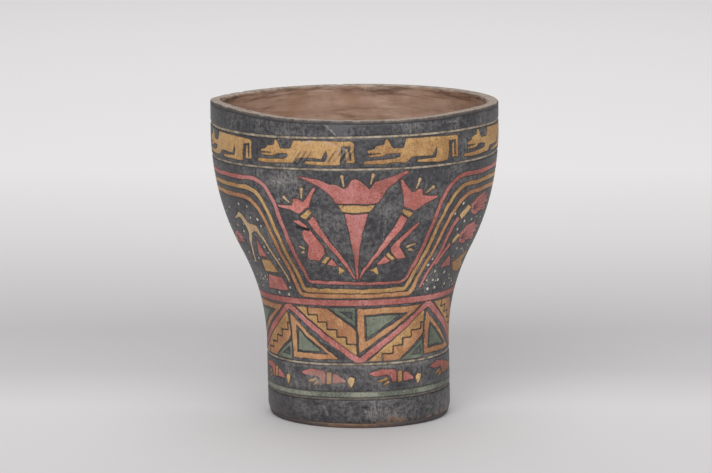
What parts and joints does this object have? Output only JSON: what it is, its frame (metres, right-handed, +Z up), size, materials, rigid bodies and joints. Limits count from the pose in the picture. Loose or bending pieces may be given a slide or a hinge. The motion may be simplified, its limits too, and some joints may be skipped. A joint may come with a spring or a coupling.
{
  "type": "inlaid wooden drinking cup",
  "caption": "Flared drinking cup carved from wood, with a black lacquer ground and flush coloured inlays of felines, flowers and stepped frets.",
  "frame": {"origin": "middle of the flat foot, on the surface that the cup stands on", "axes": "+Z up along the cup's axis, -Y towards the front with the great flower, +X to its right"},
  "size_m": [0.17, 0.17, 0.185],
  "materials": {
    "bare_wood": "worn, oiled, with faint tool marks",
    "mend_filler": "old dull fill, rubbed level",
    "black_lacquer": "satin black, worn grey on the high spots",
    "yellow_resin": "dull ochre yellow",
    "orange_resin": "dull orange ochre",
    "red_resin": "dusty rose red",
    "green_resin": "dull grey green",
    "cream_resin": "dull cream"
  },
  "bodies": {
    "root": {"wooden_body": "bare_wood", "rim_mend": "mend_filler", "rim_ground": "black_lacquer", "feline_ground": "black_lacquer", "flower_ground": "black_lacquer", "stripe_ground": "black_lacquer", "garden_ground": "black_lacquer", "fret_ground": "black_lacquer", "bud_ground": "black_lacquer", "foot_ground": "black_lacquer", "felines": "yellow_resin", "yellow_meander": "yellow_resin", "great_collars": "yellow_resin", "lily_collars": "yellow_resin", "bell_collars": "yellow_resin", "bell_tails": "yellow_resin", "garden_collars": "yellow_resin", "garden_birds": "yellow_resin", "hanging_collars": "yellow_resin", "yellow_stairs": "yellow_resin", "bud_stamens": "yellow_resin", "bud_collars": "yellow_resin", "bud_tails": "yellow_resin", "orange_meander": "orange_resin", "triangle_frames": "orange_resin", "orange_stairs": "orange_resin", "red_meander": "red_resin", "great_corollas": "red_resin", "great_tubes": "red_resin", "lily_corollas": "red_resin", "lily_tubes": "red_resin", "hooked_bells": "red_resin", "bell_bodies": "red_resin", "garden_stems": "red_resin", "garden_petals": "red_resin", "garden_thorns": "red_resin", "hanging_tubes": "red_resin", "hanging_corollas": "red_resin", "red_ring": "red_resin", "zigzag": "red_resin", "bud_bells": "red_resin", "bud_bodies": "red_resin", "triangle_hearts": "green_resin", "corner_frames": "green_resin", "green_ring": "green_resin", "stamens": "cream_resin", "herons": "cream_resin", "seed_dots": "cream_resin"}
  },
  "joints": []
}
